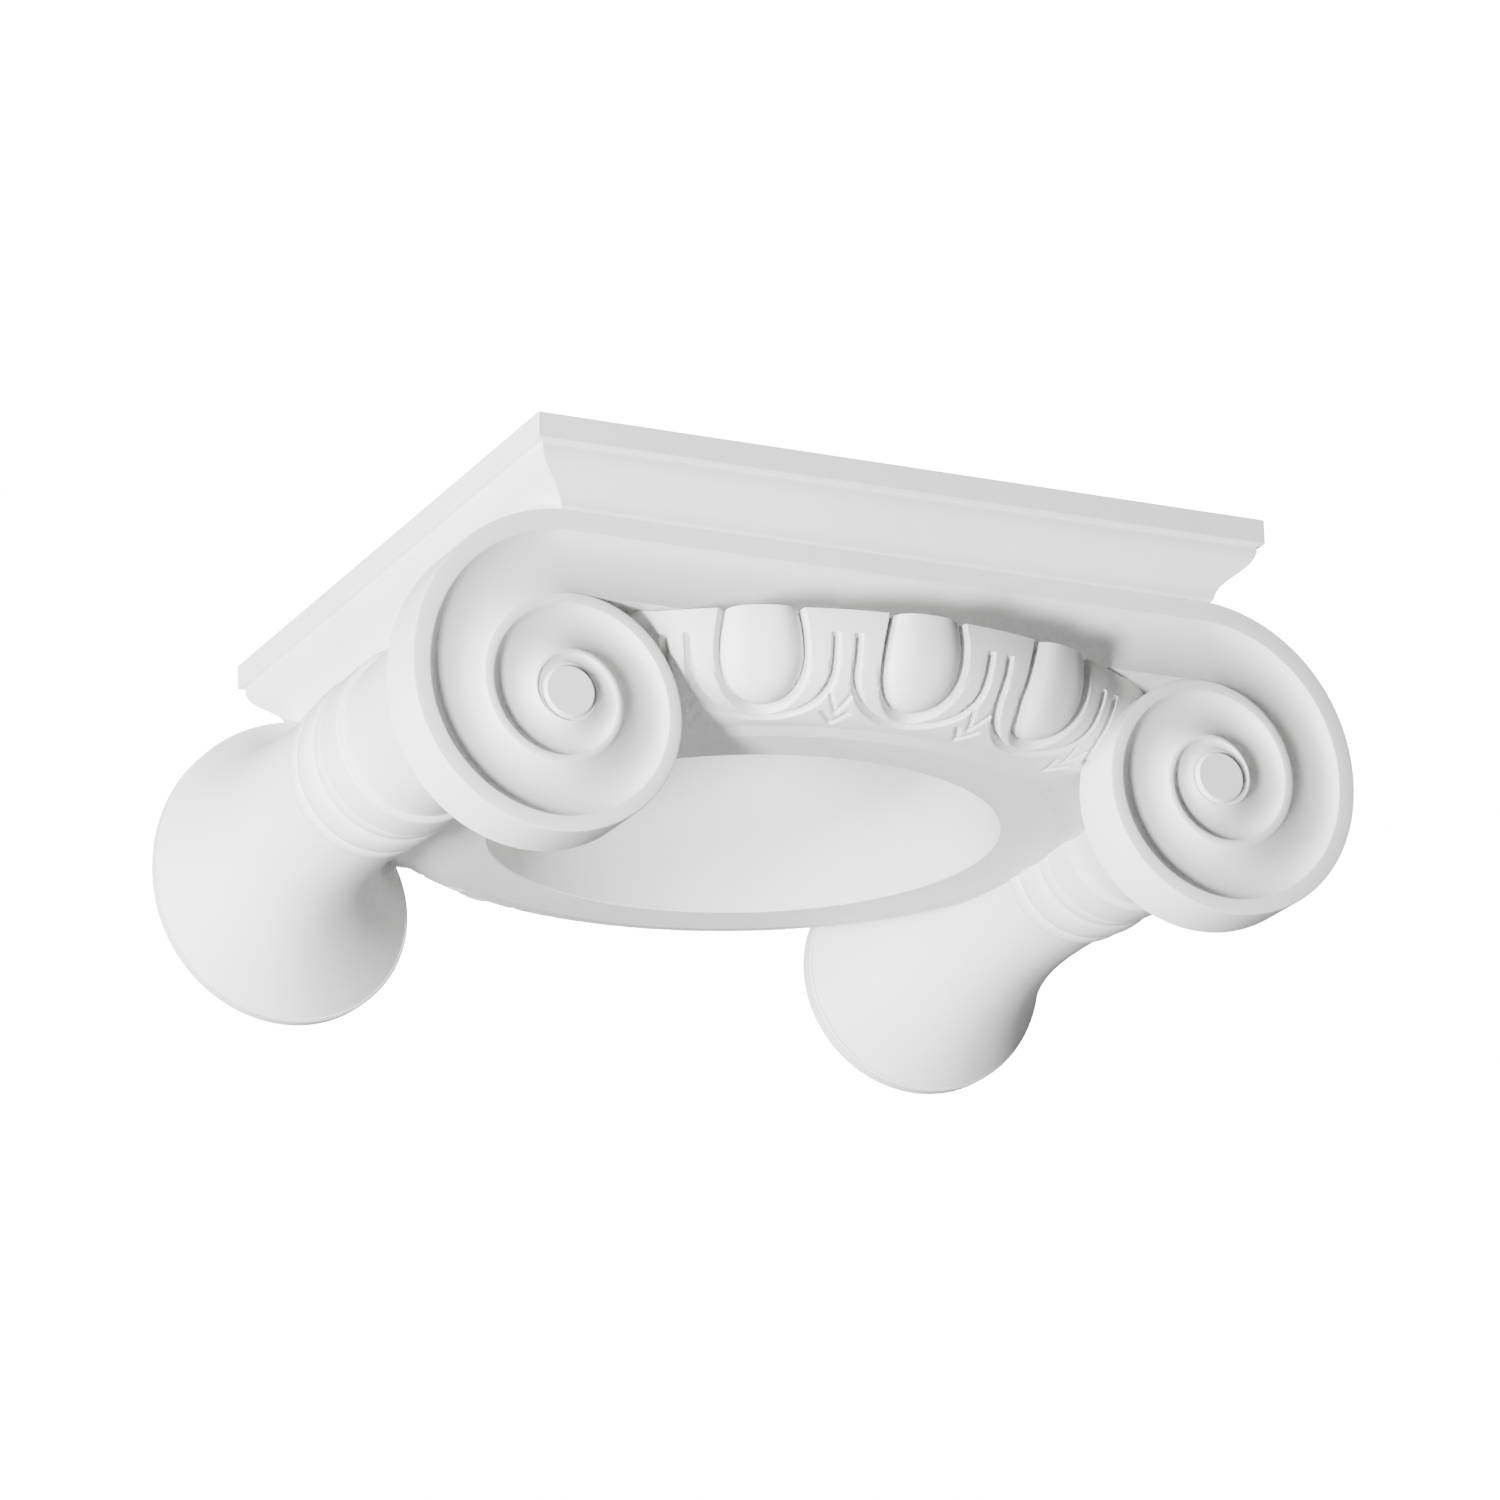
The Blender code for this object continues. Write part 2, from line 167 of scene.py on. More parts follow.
class CarvingSizes(bpy.types.PropertyGroup):
    eggs_round: whole("Eggs Round", 16, "Eggs that would fit all the way round")
    eggs_carved: whole("Eggs Carved", 3, "Eggs on each of the two faces")
    egg_bulge: length("Egg Bulge", 0.0028, "How far an egg stands out")
    egg_half_width: share("Egg Half Width", 0.255, "Half width of an egg as a share of the pitch")
    egg_bottom: share("Egg Bottom", 0.805, "How far down the ovolo an egg reaches")
    shell_half_width: share("Shell Half Width", 0.431, "Half width of a shell as a share of the pitch")
    shell_bottom: share("Shell Bottom", 0.885, "How far down the ovolo a shell reaches")
    band_bottom: share("Band Bottom", 0.15, "How far down the ovolo the darts' grooves begin")
    groove: length("Groove", 0.0058, "Depth of the groove round an egg")
    groove_width: length("Groove Width", 0.0021, "Width of the wall outside that groove")
    dart_groove: length("Dart Groove", 0.0044, "Depth of the grooves beside a dart")
    dart_groove_width: length("Dart Groove Width", 0.0018, "Half width of the grooves beside a dart")


class FinishSettings(bpy.types.PropertyGroup):
    colour: coat_colour("Colour", (0.80, 0.80, 0.795), "Base colour of the coat")
    shade: coat_colour("Shade", (0.74, 0.74, 0.73), "Colour of its duller patches")
    roughness: share("Roughness", 0.56, "Mean roughness of the coat")


class StageSettings(bpy.types.PropertyGroup):
    floor_level: length("Floor Level", -3.0, "Height of the floor")
    key_power: power("Key Power", 256.0, "Power of the key light")
    key_size: length("Key Size", 0.45, "Side of the key light")
    side_power: power("Side Power", 240.0, "Power of the side light")
    side_size: length("Side Size", 0.9, "Side of the side light")
    back_power: power("Back Power", 170.0, "Power of the back light")
    back_size: length("Back Size", 2.0, "Side of the back light")
    distance: length("Distance", 3.0, "Distance of the lights from the capital")
    ambient: share("Ambient", 0.045, "Strength of the even light")
    floor_glow: share("Floor Glow", 3.2, "Brightness that the floor shows of itself")
    backdrop: share("Backdrop", 20.0, "Strength of the white behind the capital")


def lift():
    """Height of the round seat in the frame, where the lowest points of the scrolls stand at zero."""
    top = first_bounds[1][2]
    sizes = bpy.context.scene.capital_abacus
    height = sizes.underside + sizes.fascia + sizes.step_height + sizes.cyma_height + sizes.fillet
    return top - height


# Meshes
LEAST_FACES = 100  # a body that is left with fewer has lost its form
FLATTEST_CORNER = math.radians(160.0)  # flatter corners stay as they are
MOST_OF_SIDE = 0.45  # how much of a side the rounding of a corner may take


def solid(name, points, faces):
    """A closed mesh object with its normals facing out, raised to the level of the seat."""
    rise = lift()
    mesh = bpy.data.meshes.new(name)
    mesh.from_pydata([(x, y, z + rise) for x, y, z in points], [], faces)
    shape = bmesh.new()
    shape.from_mesh(mesh)
    bmesh.ops.remove_doubles(shape, verts=shape.verts, dist=SAME_SPOT)
    bmesh.ops.triangulate(shape, faces=[face for face in shape.faces if len(face.verts) > 4])
    bmesh.ops.recalc_face_normals(shape, faces=shape.faces)
    shape.to_mesh(mesh)
    shape.free()
    obj = bpy.data.objects.new(name, mesh)
    bpy.context.scene.collection.objects.link(obj)
    return obj


def walls(rows):
    """Faces between closed rows of point numbers."""
    faces = []
    for here, after in zip(rows, rows[1:]):
        for i in range(len(here)):
            j = (i + 1) % len(here)
            faces.append((here[i], here[j], after[j], after[i]))
    return faces


def loft(name, rings):
    """Closed rings of equal length joined in order, with a flat cap at each end."""
    count = len(rings[0])
    points = [point for ring in rings for point in ring]
    rows = [range(row * count, (row + 1) * count) for row in range(len(rings))]
    return solid(name, points, walls(rows) + [tuple(rows[0]), tuple(rows[-1])])


def evaluated(obj):
    """A copy of the object's mesh with its modifiers applied."""
    graph = bpy.context.evaluated_depsgraph_get()
    return bpy.data.meshes.new_from_object(obj.evaluated_get(graph))


def combine(target, other, operation):
    """Joins the other solid to the target, or cuts it out, and removes it."""
    mod = target.modifiers.new("combine", "BOOLEAN")
    mod.operation = operation
    mod.solver = "MANIFOLD"
    mod.object = other
    mesh = evaluated(target)
    if len(mesh.polygons) < LEAST_FACES:
        raise RuntimeError(f"{other.name} could not be combined")
    target.modifiers.clear()
    old = target.data
    target.data = mesh
    bpy.data.meshes.remove(old)
    bpy.data.objects.remove(other, do_unlink=True)


def smoothstep(value):
    """Eases from 0 to 1 while the value goes from 0 to 1."""
    value = min(1.0, max(0.0, value))
    return value * value * (3.0 - 2.0 * value)


def soften(profile, radius, steps=3):
    """A profile with its inner corners rounded by short arcs."""
    out = [profile[0]]
    for before, here, after in zip(profile, profile[1:], profile[2:]):
        corner = Vector(here)
        a = Vector(before) - corner
        b = Vector(after) - corner
        cut = min(radius, a.length * MOST_OF_SIDE, b.length * MOST_OF_SIDE)
        if a.angle(b) > FLATTEST_CORNER or cut < SAME_SPOT:
            out.append(here)
            continue
        start = corner + a.normalized() * cut
        end = corner + b.normalized() * cut
        for i in range(steps + 1):
            t = i / steps
            spot = start * (1 - t) ** 2 + corner * (2 * t * (1 - t)) + end * t**2
            out.append((spot.x, spot.y))
    out.append(profile[-1])
    return out


# Abacus
TOP_BORDER = 0.02
UNDERSIDE_BORDER = 0.01
STEP_SLOPE = 0.25  # how far the step under the flat band slopes, as a share of its height
CYMA_STEPS = 24
FOOT_STEPS = 4
CORNER_STEPS = 3


def abacus_profile(sizes):
    """Inset from the edge and drop from the top, from the middle of the top to the underside."""
    profile = [(TOP_BORDER, 0.0), (0.0, 0.0), (0.0, sizes.fascia)]
    cyma_top = sizes.fascia + sizes.step_height
    profile.append((sizes.step_inset, sizes.fascia + sizes.step_height * STEP_SLOPE))
    for i in range(CYMA_STEPS + 1):
        part = i / CYMA_STEPS
        swing = math.sin(2 * math.pi * part) * -sizes.cyma_bow
        inset = sizes.step_inset + sizes.cyma_inset * (part + swing)
        profile.append((inset, cyma_top + sizes.cyma_height * part))
    low = cyma_top + sizes.cyma_height + sizes.fillet
    end = sizes.step_inset + sizes.cyma_inset
    profile = soften(profile + [(end, low)], sizes.softness)[:-1]
    for i in range(FOOT_STEPS + 1):
        turn = math.radians(90.0 / FOOT_STEPS * i)
        inward = sizes.foot_round * (1 - math.cos(turn))
        upward = sizes.foot_round * (1 - math.sin(turn))
        profile.append((end + inward, low - upward))
    return profile + [(end + UNDERSIDE_BORDER, low)]


def square(half, corner, z):
    """A square ring whose four corners are slightly rounded."""
    ring = []
    for quarter in range(4):
        for i in range(CORNER_STEPS + 1):
            angle = math.radians(90.0 * quarter + 90.0 / CORNER_STEPS * i)
            x = (half - corner) * (1 if quarter in (0, 3) else -1) + corner * math.cos(angle)
            y = (half - corner) * (1 if quarter in (0, 1) else -1) + corner * math.sin(angle)
            ring.append((x, y, z))
    return ring


def abacus(sizes):
    """The square block at the top, moulded on all four sides."""
    profile = abacus_profile(sizes)
    top = sizes.underside + profile[-1][1]
    rings = [square(sizes.side / 2 - inset, sizes.softness, top - drop) for inset, drop in profile]
    return loft("abacus", rings)


# Scrolls
LAP = 360.0
WIDEST_RIM = 0.45  # of the width of a turn
WIDEST_ROUNDING = 0.3  # of the width of a rim
ARRIS_MIDDLE = 0.3  # where the middle of a rounded arris lies, as a share of its rounding
STEEPEST_CHANNEL = 4.5  # least width of a channel over its depth
CHANNEL_STEPS = 14
CHANNEL_LEAN = 0.8  # below 1 the channel is deepest towards its outer rim
CHANNEL_FULLNESS = 2.15  # at 2 the channel is a parabola
NO_WIDTH = 1e-9  # keeps the end of the scroll from dividing by zero
EYE_FOOT = 0.0006  # spread of the step round an eye's disc at its foot
EYE_WALL = 0.0001  # spread of that step below its arris
EYE_ARRIS = (0.0003, 0.0004)  # width and height of the arris of the disc


def scroll_swell(sizes, turn):
    """How far the outer turn swells towards the abacus."""
    return sizes.swell * (1.0 - smoothstep(turn / sizes.swell_degrees))


def scroll_radius(sizes, turn):
    """Outer edge of the scroll after a number of degrees of turn from its top."""
    left = max(0.0, 1.0 - turn / sizes.degrees)
    spiral = sizes.ring_radius + (sizes.radius - sizes.ring_radius) * left**sizes.ease
    return spiral + scroll_swell(sizes, turn)


def scroll_point(turn, radius):
    """Outward and upward distance from the eye, at a turn from the top."""
    angle = math.radians(turn)
    return (radius * math.sin(angle), radius * math.cos(angle))


def scroll_steps(sizes):
    """Number of steps along the whole scroll and in one turn of it."""
    return int(round(sizes.degrees / sizes.step_degrees)), int(round(LAP / sizes.step_degrees))


def strip_levels(sizes, turn, channel_depth):
    """Distance from the eye and sink below the rim, across one turn, from its edge inwards."""
    outer = scroll_radius(sizes, turn)
    inner = scroll_radius(sizes, turn + LAP)
    width = outer - inner
    rim = min(WIDEST_RIM * width, sizes.rim_share * outer)
    soft = min(sizes.softness, WIDEST_ROUNDING * rim)
    near = ARRIS_MIDDLE * soft
    depth = min(channel_depth, (width - rim) / STEEPEST_CHANNEL)
    levels = [(outer, soft), (outer - near, near), (outer - soft, 0.0)]
    levels += [(outer - 0.5 * rim, 0.0), (outer - rim + soft, 0.0), (outer - rim + near, near)]
    for i in range(CHANNEL_STEPS):
        across = i / CHANNEL_STEPS
        bow = 1.0 - abs(2.0 * across**CHANNEL_LEAN - 1.0) ** CHANNEL_FULLNESS
        levels.append((outer - rim - (width - rim) * across, soft + depth * bow))
    levels.append((inner, soft))
    return levels


def place(points, index, key, spot):
    """Number of the point with this key, added when it is new."""
    if key not in index:
        index[key] = len(points)
        points.append(spot)
    return index[key]


class Face:
    """One face of the capital: where its rims and eyes lie and how deep its band and channel are."""

    def __init__(self, sizes, facing):
        self.facing = facing
        front = facing < 0
        self.rim = sizes.front_rim if front else sizes.back_rim
        self.eye = sizes.front_eye if front else sizes.back_eye
        self.band = sizes.front_band if front else sizes.back_band
        self.channel = sizes.front_channel if front else sizes.back_channel
        self.level = sizes.eye_level
        self.rise = self.eye - sizes.eye_lift - self.rim
        self.degrees = sizes.degrees

    def lead(self, turn):
        """How far the rim leads out at a turn, since the scroll rises towards its eye."""
        return self.rim + self.rise * min(1.0, turn / self.degrees)

    def spot(self, x, depth, up):
        """A point of this face, at a height above or below its eyes."""
        return (x, self.facing * depth, self.level + up)


def scroll_key(sizes, side, i, j, last):
    """Name of a scroll point, shared where one turn meets the next and where they all meet the eye."""
    steps, lap = scroll_steps(sizes)
    after = i + lap if j == last else i
    if i == steps or after >= steps:
        return (side, "ring", i % lap)
    if j in (0, last):
        return (side, "edge", after)
    return (side, i, j)


def scroll_faces(sizes, face, side, points, index):
    """Faces of one scroll, from the top of its outer turn to the ring of its eye."""
    steps = scroll_steps(sizes)[0]
    strip = []
    for i in range(steps + 1):
        turn = i * sizes.step_degrees
        levels = strip_levels(sizes, turn, face.channel)
        outer = levels[0][0]
        inner = levels[-1][0]
        row = []
        for j, (radius, sink) in enumerate(levels):
            key = scroll_key(sizes, side, i, j, len(levels) - 1)
            across = (outer - radius) / max(NO_WIDTH, outer - inner)
            lead = face.lead(turn + LAP * across) - sink
            if key[1] == "ring":
                radius = sizes.ring_radius
                lead = face.lead(sizes.degrees) - sizes.softness
            out, up = scroll_point(turn, radius)
            row.append(place(points, index, key, face.spot(side * (sizes.eye_offset + out), lead, up)))
        strip.append(row)
    faces = []
    for here, after in zip(strip, strip[1:]):
        for j in range(len(here) - 1):
            faces.append((here[j], after[j], after[j + 1], here[j + 1]))
    return faces


def eye_faces(sizes, face, side, points, index):
    """Flat disc in the middle of one scroll and the small step round it."""
    lap = scroll_steps(sizes)[1]
    foot = face.lead(sizes.degrees) - sizes.softness
    rows = [[index[(side, "ring", i)] for i in range(lap)]]
    radius = sizes.disc_radius
    width, height = EYE_ARRIS
    steps = ((radius + EYE_FOOT, foot), (radius + EYE_WALL, face.eye - height), (radius - width, face.eye))
    for number, (reach, lead) in enumerate(steps):
        row = []
        for i in range(lap):
            out, up = scroll_point(i * sizes.step_degrees, reach)
            key = (side, "disc", number, i)
            row.append(place(points, index, key, face.spot(side * (sizes.eye_offset + out), lead, up)))
        rows.append(row)
    return [tuple(rows[-1])] + walls(rows)


def face_slab(sizes, name, facing):
    """Both scrolls of one face and the channel between them, on a slab of the band's depth."""
    face = Face(sizes, facing)
    points = []
    index = {}
    faces = []
    for side in (-1, 1):
        faces += scroll_faces(sizes, face, side, points, index)
        faces += eye_faces(sizes, face, side, points, index)
    last = len(strip_levels(sizes, 0.0, face.channel)) - 1
    left = [index[scroll_key(sizes, -1, 0, j, last)] for j in range(last + 1)]
    right = [index[scroll_key(sizes, 1, 0, j, last)] for j in range(last + 1)]
    faces += [(left[j], right[j], right[j + 1], left[j + 1]) for j in range(last)]
    lap = scroll_steps(sizes)[1]
    outline = [index[(1, "edge", i)] for i in range(lap + 1)]
    outline += [index[(-1, "edge", i)] for i in range(lap, -1, -1)]
    rear_plane = face.rim - face.band
    rows = [outline]
    for inset, depth in ((0.0, rear_plane + sizes.softness), (sizes.softness, rear_plane)):
        row = []
        for vertex in outline:
            x, _, z = points[vertex]
            side = 1 if x > 0 else -1
            out = x - side * sizes.eye_offset
            up = z - sizes.eye_level
            keep = 1.0 - inset / math.hypot(out, up)
            row.append(len(points))
            points.append(face.spot(side * sizes.eye_offset + out * keep, depth, up * keep))
        rows.append(row)
    faces += walls(rows) + [tuple(rows[-1])]
    clean = [tuple(dict.fromkeys(corners)) for corners in faces]
    return solid(name, points, [corners for corners in clean if len(corners) > 2])


# Balusters
RING_SWELL = 0.8  # swells as shares of the belt's relief
TORUS_SWELL = 1.2
COLLAR_SWELL = 1.1
COLLAR_SHAPE = (  # places across the collar and shares of its swell
    (0.0, 0.0),
    (0.02, 0.6),
    (0.06, 0.9),
    (0.12, 1.0),
    (0.5, 1.04),
    (0.88, 1.0),
    (0.94, 0.9),
    (0.98, 0.6),
    (1.0, 0.0),
)
BELL_STEPS = 30
FLARE_STEPS = 14
BELL_OVERLAP = 0.001  # how far the bell runs into the back band
FLARE_OVERLAP = 0.003  # how far the front end runs into the front band


def section(scroll, sizes, depth, scale, swell, side):
    """The scroll's outline, drawn in towards the belt's own centre and pushed out by the swell."""
    held_back = (1.0 - scale) / (1.0 - sizes.belt_scale)
    ring = []
    for i in range(scroll_steps(scroll)[1] + 1):
        turn = i * scroll.step_degrees
        out, up = scroll_point(turn, scroll_radius(scroll, turn) - scroll_swell(scroll, turn) * held_back)
        out = sizes.centre_out + (out - sizes.centre_out) * scale + swell * math.sin(math.radians(turn))
        up = sizes.centre_up + (up - sizes.centre_up) * scale + swell * math.cos(math.radians(turn))
        ring.append((side * (scroll.eye_offset + out), depth, scroll.eye_level + up))
    return ring


def round_moulding(edge, width, height, steps=10):
    """Depth and swell across a half-round moulding between two fine grooves."""
    rows = []
    for i in range(steps + 1):
        across = i / steps
        swell = math.sqrt(max(0.0, 1.0 - (2.0 * across - 1.0) ** 2))
        rows.append((edge - width * across, height * swell))
    return rows


def flat_moulding(edge, width, height):
    """Depth and swell across a collar with softened edges."""
    return [(edge - width * across, height * swell) for across, swell in COLLAR_SHAPE]


def belt_rows(sizes):
    """Depth and swell of the belt's mouldings, from the back: ring, torus, ring, collar."""
    rows = []
    edge = sizes.back
    for width, swell in ((sizes.ring, RING_SWELL), (sizes.torus, TORUS_SWELL), (sizes.ring, RING_SWELL)):
        rows += round_moulding(edge, width, sizes.relief * swell)
        edge -= width
    rows += flat_moulding(edge, sizes.collar, sizes.relief * COLLAR_SWELL)
    return rows


def baluster(scroll, sizes, side):
    """One side of the capital, from the bell at the back over the belt to the front band."""
    rows = belt_rows(sizes)
    front_edge = rows[-1][0]
    bell_end = scroll.back_rim - scroll.back_band
    rings = [section(scroll, sizes, bell_end + BELL_OVERLAP, sizes.bell_scale, 0.0, side)]
    for i in range(BELL_STEPS):
        part = 1.0 - i / BELL_STEPS
        depth = sizes.back + (bell_end - sizes.back) * part
        scale = sizes.belt_scale + (sizes.bell_scale - sizes.belt_scale) * part**sizes.bell_ease
        rings.append(section(scroll, sizes, depth, scale, 0.0, side))
    last = None
    for depth, swell in rows:
        if last is None or abs(depth - last) > SAME_SPOT:
            rings.append(section(scroll, sizes, depth, sizes.belt_scale, swell, side))
        last = depth
    band_rear = -(scroll.front_rim - scroll.front_band)
    for i in range(1, FLARE_STEPS + 1):
        part = i / FLARE_STEPS
        depth = front_edge + (band_rear - front_edge) * part
        scale = sizes.belt_scale + (sizes.flare_scale - sizes.belt_scale) * part * part
        rings.append(section(scroll, sizes, depth, scale, 0.0, side))
    rings.append(section(scroll, sizes, band_rear - FLARE_OVERLAP, sizes.flare_scale, 0.0, side))
    return loft(f"baluster_{side}", rings)


# Echinus. Its angles are degrees from the middle of the front, its runs are shares of the way down
END_TURN = 0.5  # the ovolo's slope is taken no nearer to its ends than this many degrees
FULL_FRONT = 40.0  # half the angle over which the ovolo keeps its front fullness
FULLNESS_FADE = 30.0


def ovolo(sizes, turn, fullness):
    """Radius, height and outward slope of the ovolo at a turn from its top."""
    angle = math.radians(min(90.0 - END_TURN, max(END_TURN, turn)))
    out = math.cos(angle) ** (2.0 / fullness)
    down = math.sin(angle) ** (2.0 / fullness)
    rise = sizes.top - sizes.foot_height
    radius = sizes.radius - sizes.foot_turn_in * (1.0 - out)
    facing = (out ** (fullness - 1.0) / sizes.foot_turn_in, down ** (fullness - 1.0) / rise)
    size = math.hypot(*facing)
    return radius, sizes.top - rise * down, facing[0] / size, facing[1] / size


def fullness_at(sizes, angle):
    """The ovolo is fuller between the front volutes than round the sides and back."""
    away = abs((angle + 180.0) % 360.0 - 180.0)
    fade = smoothstep((away - FULL_FRONT) / FULLNESS_FADE)
    return sizes.front_fullness + (sizes.back_fullness - sizes.front_fullness) * fade


# Carving, across half a pitch from the middle of an egg to the middle of a dart
EGG_TURN = 0.33  # run at which an egg's sides begin to curve in
EGG_NARROWING = 0.15  # how much narrower an egg is at the top
EGG_DOME = 3  # power that rounds an egg across
SHELL_TURN = 0.40  # run at which a shell's sides begin to curve in
GROOVE_WALL = 1.5  # power that hollows the wall outside an egg's groove
DART_FADE = 0.02  # run over which the darts' grooves begin
TIP_LINE = ((0.0, 0.80), (0.066, 0.62))  # ends, as shares of the pitch and of the ovolo's length
BARB_LINE = ((0.0, 0.935), (0.085, 0.80))
TIP_GROOVE = (0.0011, 0.0013)  # half width and depth
BARB_GROOVE = (0.0012, 0.0014)
OVOLO_LENGTH = 0.057  # length of the ovolo's curve
PITCH_LENGTH = 0.062  # rough distance between two eggs
GIRTH_AT = 0.35  # how far towards the foot's radius that distance is measured
CARVED_TO = 0.985  # run at which the carving has faded out
CARVED_FADE = 0.02


def egg_edge(carving, run):
    """Half the width of an egg at a run, as a share of the pitch."""
    if run < EGG_TURN:
        return carving.egg_half_width * (1.0 - EGG_NARROWING * ((EGG_TURN - run) / EGG_TURN) ** 2)
    low = min(1.0, (run - EGG_TURN) / (carving.egg_bottom - EGG_TURN))
    return carving.egg_half_width * math.sqrt(1.0 - low * low)


def shell_edge(carving, run):
    """Half the width of a shell at a run, as a share of the pitch."""
    low = min(1.0, max(0.0, (run - SHELL_TURN) / (carving.shell_bottom - SHELL_TURN)))
    return carving.shell_half_width * math.sqrt(1.0 - low * low)


def rounded_distance(place_across, run, half_width, turn_in, bottom, pitch, drop):
    """Distance outside a U-shaped outline, in metres, and how far out the point lies as a share of it."""
    across = place_across / half_width
    down = max(0.0, (run - turn_in) / (bottom - turn_in))
    reach = math.hypot(across, down)
    if reach < SAME_SPOT:
        return -half_width * pitch, 0.0
    slope = math.hypot(across / reach / (half_width * pitch), down / reach / ((bottom - turn_in) * drop))
    return (reach - 1.0) / slope, reach


def trough(distance, half_width, depth):
    """A groove with straight walls."""
    return -depth * max(0.0, 1.0 - abs(distance) / half_width)


def line_distance(x, y, start, end):
    """Distance of a point from a line between two others."""
    ax, ay = start
    bx, by = end
    along = ((x - ax) * (bx - ax) + (y - ay) * (by - ay)) / ((bx - ax) ** 2 + (by - ay) ** 2)
    along = min(1.0, max(0.0, along))
    return math.hypot(x - ax - along * (bx - ax), y - ay - along * (by - ay))


def carving_height(carving, across, run, pitch, drop):
    """Height of egg, shell and dart at a place across half a pitch and a share of the way down."""
    half = egg_edge(carving, run) if run < EGG_TURN else carving.egg_half_width
    distance, reach = rounded_distance(across, run, half, EGG_TURN, carving.egg_bottom, pitch, drop)
    if distance < 0.0:
        dome = math.sqrt(max(0.0, 1.0 - reach**EGG_DOME))
        return -carving.groove + (carving.egg_bulge + carving.groove) * dome
    height = 0.0
    if distance < carving.groove_width:
        height = -carving.groove * (1.0 - distance / carving.groove_width) ** GROOVE_WALL
    start = smoothstep((run - carving.band_bottom) / DART_FADE)
    half = carving.shell_half_width
    edge, _ = rounded_distance(across, run, half, SHELL_TURN, carving.shell_bottom, pitch, drop)
    height = min(height, start * trough(edge, carving.dart_groove_width, carving.dart_groove))
    if edge > 0.0:
        x = (0.5 - across) * pitch
        y = run * drop
        for line, (half_width, depth) in ((TIP_LINE, TIP_GROOVE), (BARB_LINE, BARB_GROOVE)):
            ends = [(out * pitch, down * drop) for out, down in line]
            height = min(height, trough(line_distance(x, y, *ends), half_width, depth))
    return height


FLANK = 0.8  # where an egg's flank begins, as a share of its half width
LEAST_GAP = 0.03  # between an egg's groove and the outline of its shell
DART_COLUMNS = 13  # from the inner edge of the groove beside a dart to the dart's middle
STRAIGHT_TO = 0.55  # run down to which the columns follow the outlines
EVEN_FROM = 0.30  # run from which the columns turn into even ones
EVEN_FADE = 0.30
PLAIN_STEPS = 30


def aligned_columns(carving, run):
    """Places across half a pitch that follow the egg, its groove and the grooves beside the dart."""
    egg = egg_edge(carving, run)
    wall = carving.groove_width / PITCH_LENGTH
    shell = max(shell_edge(carving, run), egg + wall + LEAST_GAP)
    side = carving.dart_groove_width / PITCH_LENGTH
    knots = (
        (0.0, egg * FLANK, 7),
        (egg * FLANK, egg, 7),
        (egg, egg + wall, 5),
        (egg + wall, shell - side, 5),
        (shell - side, shell, 4),
        (shell, shell + side, 4),
        (shell + side, 0.5, 4),
    )
    places = []
    for start, end, count in knots:
        places += [start + (end - start) * i / count for i in range(count)]
    return places + [0.5]


def columns_at(carving, run):
    """The aligned places, turning into even ones where the outlines curve round under the egg."""
    places = aligned_columns(carving, min(run, STRAIGHT_TO))
    even = smoothstep((run - EVEN_FROM) / EVEN_FADE)
    last = len(places) - 1
    return [spot * (1.0 - even) + 0.5 * i / last * even for i, spot in enumerate(places)]


def carved_ring(sizes, carving, run):
    """Angle from the front and carving height at every column round the echinus."""
    pitch = 360.0 / carving.eggs_round
    girth = math.radians(pitch) * (sizes.radius - GIRTH_AT * sizes.foot_turn_in)
    fade = smoothstep((CARVED_TO - run) / CARVED_FADE)
    half = []
    for spot in columns_at(carving, run):
        height = carving_height(carving, spot, run, girth, OVOLO_LENGTH)
        half.append((spot, height * fade))
    columns = []
    reach = carving.eggs_carved * 0.5
    for face in (0, 1):
        for egg in range(carving.eggs_carved):
            middle = face * 180.0 + (egg - (carving.eggs_carved - 1) / 2) * pitch
            columns += [(middle - spot * pitch, height) for spot, height in reversed(half[1:])]
            columns += [(middle + spot * pitch, height) for spot, height in half[:-1]]
        start = face * 180.0 + reach * pitch
        plain = 180.0 - 2 * reach * pitch
        groove = [(0.5 - spot, height) for spot, height in reversed(half[-DART_COLUMNS:])]
        columns += [(start + spot * pitch, height) for spot, height in groove]
        margin = groove[-1][0]
        for i in range(1, PLAIN_STEPS):
            along = (plain - 2 * margin * pitch) * i / PLAIN_STEPS
            columns.append((start + margin * pitch + along, 0.0))
        columns += [(start + plain - spot * pitch, height) for spot, height in reversed(groove[1:])]
    return columns


EDGE_RUN = 0.004
UPPER_RUN, UPPER_STEPS = 0.62, 26
LOWER_RUN, LOWER_STEPS = 0.36, 34
LIP_START, LIP_START_FADE = 36.0, 4.0
LIP_END, LIP_END_FADE = 74.0, 6.0
CRISP = 0.0003  # rounding of the seat's edges
MOUTH_MARGIN = 0.01  # how far the seat runs in over the socket, before that is cut


def echinus_runs():
    """Shares of the way down the ovolo, closer together where the outlines turn under the eggs."""
    upper = [UPPER_RUN * i / UPPER_STEPS for i in range(UPPER_STEPS)]
    lower = [UPPER_RUN + LOWER_RUN * i / LOWER_STEPS for i in range(LOWER_STEPS + 1)]
    return [0.0, EDGE_RUN] + upper[1:] + lower


def lip_rise(sizes, angle):
    """Rise of the ovolo's edge where it passes under the bands beside the volutes."""
    away = min(abs((angle + 180.0) % 360.0 - 180.0), abs(angle % 360.0 - 180.0))
    start = smoothstep((away - LIP_START) / LIP_START_FADE)
    return sizes.lip * start * smoothstep((LIP_END - away) / LIP_END_FADE)


